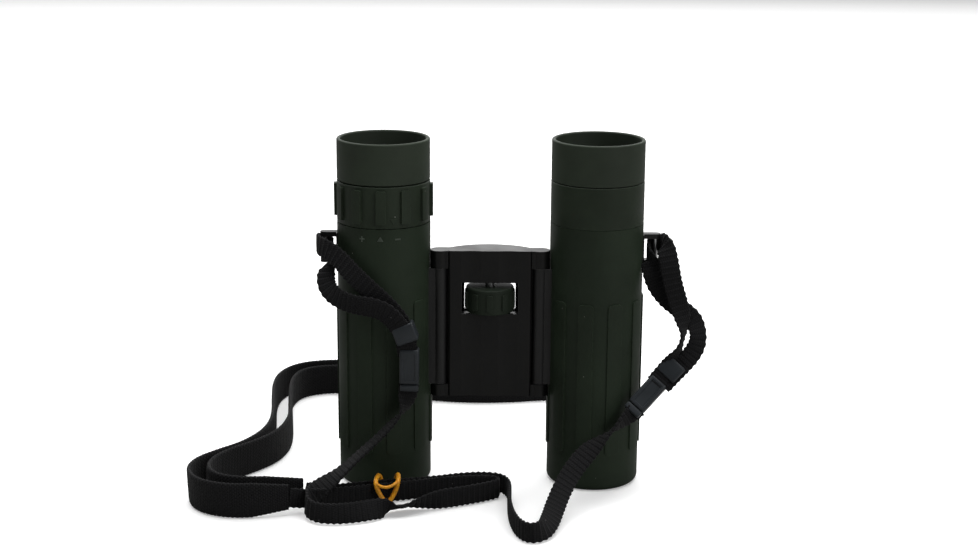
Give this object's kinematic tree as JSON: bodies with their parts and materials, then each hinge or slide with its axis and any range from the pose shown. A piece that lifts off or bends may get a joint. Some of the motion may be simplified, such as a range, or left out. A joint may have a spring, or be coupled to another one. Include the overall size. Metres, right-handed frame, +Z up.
{
  "type": "compact folding binoculars",
  "caption": "Compact roof-prism binoculars with two rubber-armoured barrels on a folding bridge, a focus wheel, a diopter ring and a narrow strap with cord locks.",
  "frame": {"origin": "on the surface the objective ends stand on, midway between the two barrel axes", "axes": "+Z up along the barrels, from the objectives to the eyepieces; +X to the barrel without the diopter ring; -Y is the belly side, where the barrels fold to"},
  "size_m": [0.1709, 0.1537, 0.1174],
  "materials": {
    "armour_rubber": "matte",
    "eyecup_rubber": "matte",
    "green_plastic": "satin",
    "wheel_rubber": "matte",
    "black_plastic": "satin",
    "hinge_metal": "satin",
    "anodised_black": "satin",
    "dark_plastic": "matte",
    "optical_glass": "clear",
    "steel": "satin",
    "bush_brass": "satin",
    "carriage_metal": "satin",
    "strap_fabric": "woven",
    "buckle_plastic": "satin",
    "tie_elastic": "satin"
  },
  "bodies": {
    "bridge": {"bridge_body": "black_plastic", "bridge_plate": "black_plastic", "ear_caps": "black_plastic", "screw_bush": "bush_brass", "strap_tape_left": "strap_fabric", "strap_tape_right": "strap_fabric", "neck_webbing": "strap_fabric", "strap_tie": "tie_elastic"},
    "focus_wheel": {"focus_wheel": "wheel_rubber", "focus_screw": "steel"},
    "focus_carriage": {"focus_carriage": "carriage_metal", "hinge_axle_left": "steel", "hinge_axle_right": "steel"},
    "left_barrel": {"armour_left": "armour_rubber", "barrel_tube_left": "anodised_black", "hinge_arm_left": "hinge_metal", "arm_screws_left": "steel", "objective_cell_left": "anodised_black", "objective_lens_left": "optical_glass", "objective_ring_left": "anodised_black", "prism_holder_left": "dark_plastic", "prisms_left": "optical_glass", "ocular_housing_left": "dark_plastic", "field_stop_left": "anodised_black", "strap_lug_left": "hinge_metal", "lug_pin_left": "steel", "lug_loop_left": "strap_fabric", "strap_keeper_left": "buckle_plastic", "cord_lock_left": "buckle_plastic"},
    "right_barrel": {"armour_right": "armour_rubber", "barrel_tube_right": "anodised_black", "hinge_arm_right": "hinge_metal", "arm_screws_right": "steel", "objective_cell_right": "anodised_black", "objective_lens_right": "optical_glass", "objective_ring_right": "anodised_black", "prism_holder_right": "dark_plastic", "prisms_right": "optical_glass", "ocular_housing_right": "dark_plastic", "field_stop_right": "anodised_black", "strap_lug_right": "hinge_metal", "lug_pin_right": "steel", "lug_loop_right": "strap_fabric", "strap_keeper_right": "buckle_plastic", "cord_lock_right": "buckle_plastic", "collar_right": "green_plastic", "ocular_cell_right": "dark_plastic", "ocular_lenses_right": "optical_glass"},
    "left_focus": {"focus_cell_left": "anodised_black", "focus_lens_left": "optical_glass"},
    "right_focus": {"focus_cell_right": "anodised_black", "focus_lens_right": "optical_glass"},
    "left_eyecup": {"eyecup_left": "eyecup_rubber"},
    "right_eyecup": {"eyecup_right": "eyecup_rubber"},
    "diopter": {"diopter_ring": "green_plastic"},
    "left_ocular": {"ocular_cell_left": "dark_plastic", "ocular_lenses_left": "optical_glass", "diopter_pin": "steel"}
  },
  "joints": [
    {"name": "hinge_left", "type": "hinge", "parent": "bridge", "child": "left_barrel", "pos_m": [-0.0168, -0.002, 0.055], "axis": [0, 0, 1], "range_deg": [0, 97], "deforming": ["lug_loop_left", "lug_loop_right", "strap_keeper_left", "strap_keeper_right", "cord_lock_left", "cord_lock_right", "strap_tape_left", "strap_tape_right", "neck_webbing", "strap_tie"]},
    {"name": "hinge_right", "type": "hinge", "parent": "bridge", "child": "right_barrel", "pos_m": [0.0168, -0.002, 0.055], "axis": [0, 0, 1], "range_deg": [-97, 0], "deforming": ["lug_loop_left", "lug_loop_right", "strap_keeper_left", "strap_keeper_right", "cord_lock_left", "cord_lock_right", "strap_tape_left", "strap_tape_right", "neck_webbing", "strap_tie"]},
    {"name": "focus_wheel_turn", "type": "hinge", "parent": "bridge", "child": "focus_wheel", "pos_m": [0, -0.0008, 0.0633], "axis": [0, 0, 1], "range_deg": [-180, 180]},
    {"name": "focus_carriage_slide", "type": "slide", "parent": "bridge", "child": "focus_carriage", "axis": [0, 0, 1], "range_m": [-0.00111, 0.00111]},
    {"name": "left_focus_slide", "type": "slide", "parent": "left_barrel", "child": "left_focus", "axis": [0, 0, 1], "range_m": [-0.00111, 0.00111]},
    {"name": "right_focus_slide", "type": "slide", "parent": "right_barrel", "child": "right_focus", "axis": [0, 0, 1], "range_m": [-0.00111, 0.00111]},
    {"name": "diopter_turn", "type": "hinge", "parent": "left_barrel", "child": "diopter", "pos_m": [-0.0354, 0, 0.0966], "axis": [0, 0, 1], "range_deg": [-40, 40]},
    {"name": "left_ocular_slide", "type": "slide", "parent": "left_barrel", "child": "left_ocular", "axis": [0, 0, 1], "range_m": [-0.00081, 0.00081]},
    {"name": "eyecup_left_slide", "type": "slide", "parent": "left_barrel", "child": "left_eyecup", "axis": [0, 0, 1], "range_m": [0, 0.004]},
    {"name": "eyecup_right_slide", "type": "slide", "parent": "right_barrel", "child": "right_eyecup", "axis": [0, 0, 1], "range_m": [0, 0.004]}
  ],
  "couplings": [
    {"joint": "focus_carriage_slide", "follows": "focus_wheel_turn", "m_per_rad": 0.00035014},
    {"joint": "left_focus_slide", "follows": "focus_wheel_turn", "m_per_rad": 0.00035014},
    {"joint": "right_focus_slide", "follows": "focus_wheel_turn", "m_per_rad": 0.00035014},
    {"joint": "left_ocular_slide", "follows": "diopter_turn", "m_per_rad": 0.0011459}
  ]
}
